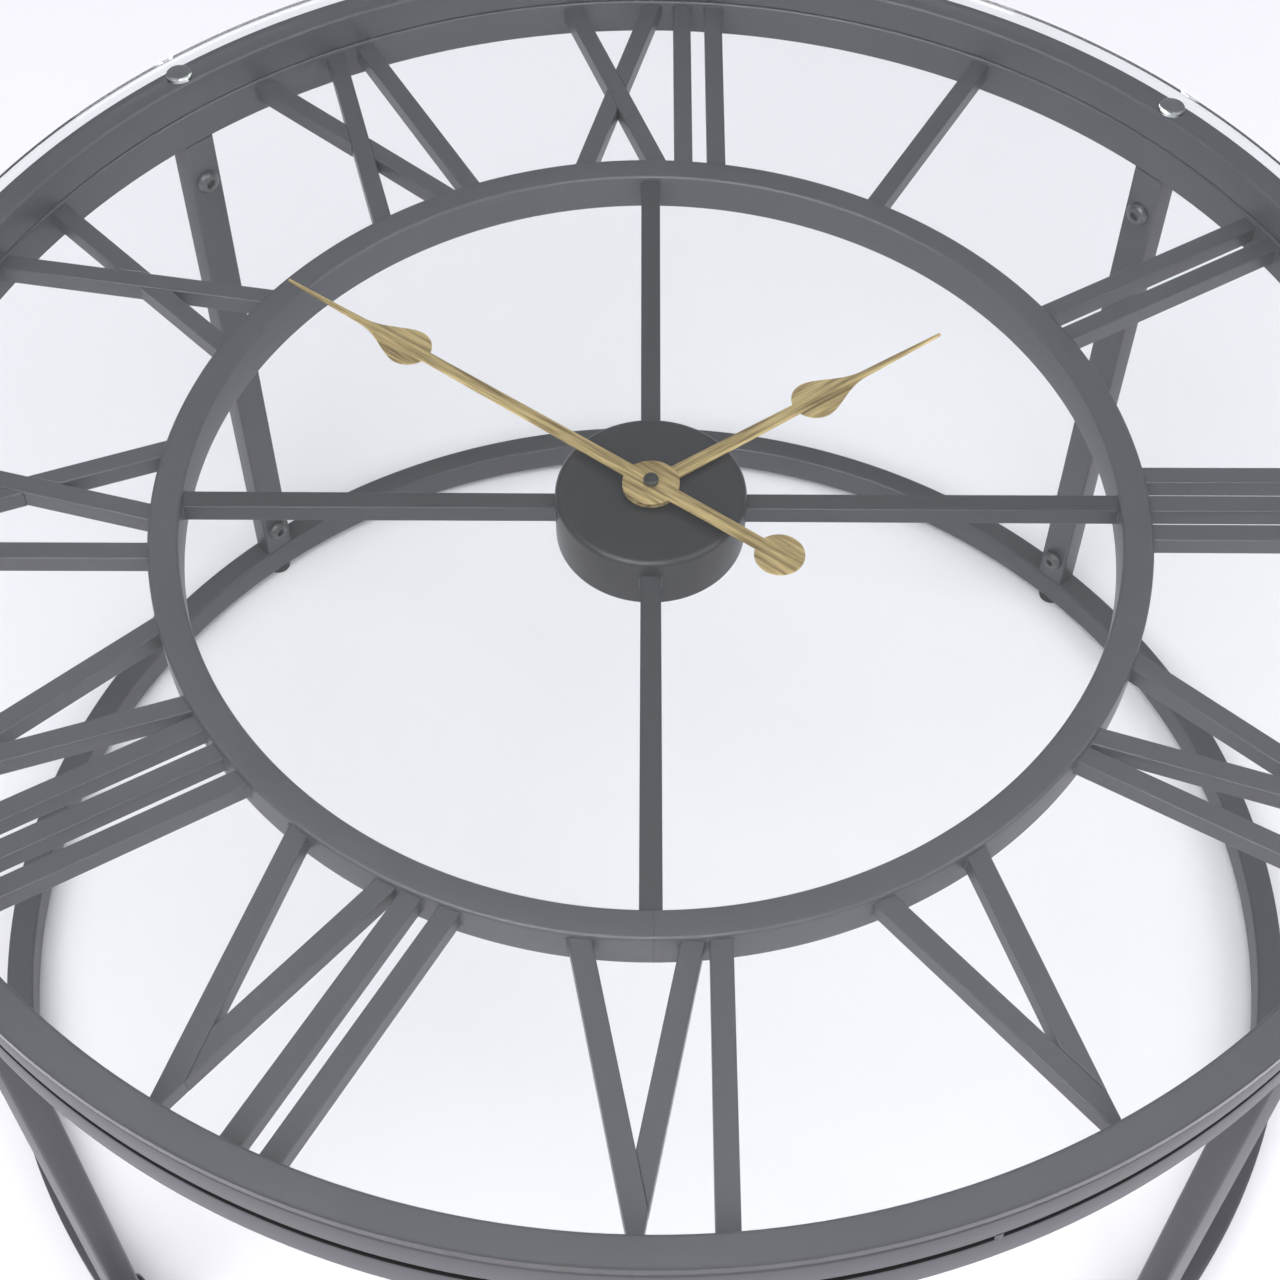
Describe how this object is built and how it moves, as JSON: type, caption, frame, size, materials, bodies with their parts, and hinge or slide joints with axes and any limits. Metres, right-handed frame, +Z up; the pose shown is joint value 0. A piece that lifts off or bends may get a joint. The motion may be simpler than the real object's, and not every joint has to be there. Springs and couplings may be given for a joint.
{
  "type": "skeleton clock coffee table",
  "caption": "Round glass-topped coffee table on tubular metal legs, with an open roman-numeral clock dial, hub and hands under the glass.",
  "frame": {"origin": "on the floor, under the middle of the hub", "axes": "+Z up, +Y towards the numeral XII, +X towards III; hands turn clockwise seen from above, about -Z"},
  "size_m": [0.8, 0.8, 0.45],
  "materials": {
    "grey_paint": "satin gunmetal-grey powder coat",
    "antique_brass": "brushed, aged to dark streaks",
    "clear_glass": "clear, flat, with a ground and polished edge",
    "clear_vinyl": "clear self-adhesive bumper",
    "black_plastic": "moulded, satin",
    "steel": "turned",
    "battery_jacket": null
  },
  "bodies": {
    "frame": {"base_ring": "grey_paint", "battery": "battery_jacket", "crossbar_front": "grey_paint", "crossbar_left": "grey_paint", "crossbar_rear": "grey_paint", "crossbar_right": "grey_paint", "dial_inner_ring": "grey_paint", "dial_outer_ring": "grey_paint", "fixing_nut": "antique_brass", "foot_pad_front_left": "black_plastic", "foot_pad_front_right": "black_plastic", "foot_pad_rear_left": "black_plastic", "foot_pad_rear_right": "black_plastic", "glass_bumper_front_left": "clear_vinyl", "glass_bumper_front_right": "clear_vinyl", "glass_bumper_rear_left": "clear_vinyl", "glass_bumper_rear_right": "clear_vinyl", "glass_top": "clear_glass", "hub_drum": "grey_paint", "leg_bolt_front_left": "grey_paint", "leg_bolt_front_right": "grey_paint", "leg_bolt_rear_left": "grey_paint", "leg_bolt_rear_right": "grey_paint", "leg_front_left": "grey_paint", "leg_front_right": "grey_paint", "leg_rear_left": "grey_paint", "leg_rear_right": "grey_paint", "movement_case": "black_plastic", "numeral_III_stroke_1": "grey_paint", "numeral_III_stroke_2": "grey_paint", "numeral_III_stroke_3": "grey_paint", "numeral_II_stroke_1": "grey_paint", "numeral_II_stroke_2": "grey_paint", "numeral_IV_V": "grey_paint", "numeral_IV_stroke_1": "grey_paint", "numeral_IX_X": "grey_paint", "numeral_IX_stroke_1": "grey_paint", "numeral_I_stroke_1": "grey_paint", "numeral_VIII_V": "grey_paint", "numeral_VIII_stroke_1": "grey_paint", "numeral_VIII_stroke_2": "grey_paint", "numeral_VIII_stroke_3": "grey_paint", "numeral_VII_V": "grey_paint", "numeral_VII_stroke_1": "grey_paint", "numeral_VII_stroke_2": "grey_paint", "numeral_VI_V": "grey_paint", "numeral_VI_stroke_1": "grey_paint", "numeral_V_V": "grey_paint", "numeral_XII_X": "grey_paint", "numeral_XII_stroke_1": "grey_paint", "numeral_XII_stroke_2": "grey_paint", "numeral_XI_X": "grey_paint", "numeral_XI_stroke_1": "grey_paint", "numeral_X_X": "grey_paint", "top_ring": "grey_paint"},
    "minute_group": {"minute_hand": "antique_brass", "hand_nut": "black_plastic", "minute_arbor": "steel"},
    "hour_group": {"hour_hand": "antique_brass"},
    "setting_knob_body": {"setting_knob": "black_plastic"}
  },
  "joints": [
    {"name": "minute_hand_turn", "type": "hinge", "parent": "frame", "child": "minute_group", "pos_m": [0, 0, 0.4299], "axis": [0, 0, -1], "continuous": true},
    {"name": "hour_hand_turn", "type": "hinge", "parent": "frame", "child": "hour_group", "pos_m": [0, 0, 0.4281], "axis": [0, 0, -1], "continuous": true},
    {"name": "setting_knob_turn", "type": "hinge", "parent": "frame", "child": "setting_knob_body", "pos_m": [0, -0.012, 0.4068], "axis": [0, 0, -1], "continuous": true}
  ],
  "couplings": [
    {"joint": "hour_hand_turn", "follows": "minute_hand_turn", "ratio": 0.083333},
    {"joint": "setting_knob_turn", "follows": "minute_hand_turn", "ratio": -1}
  ]
}
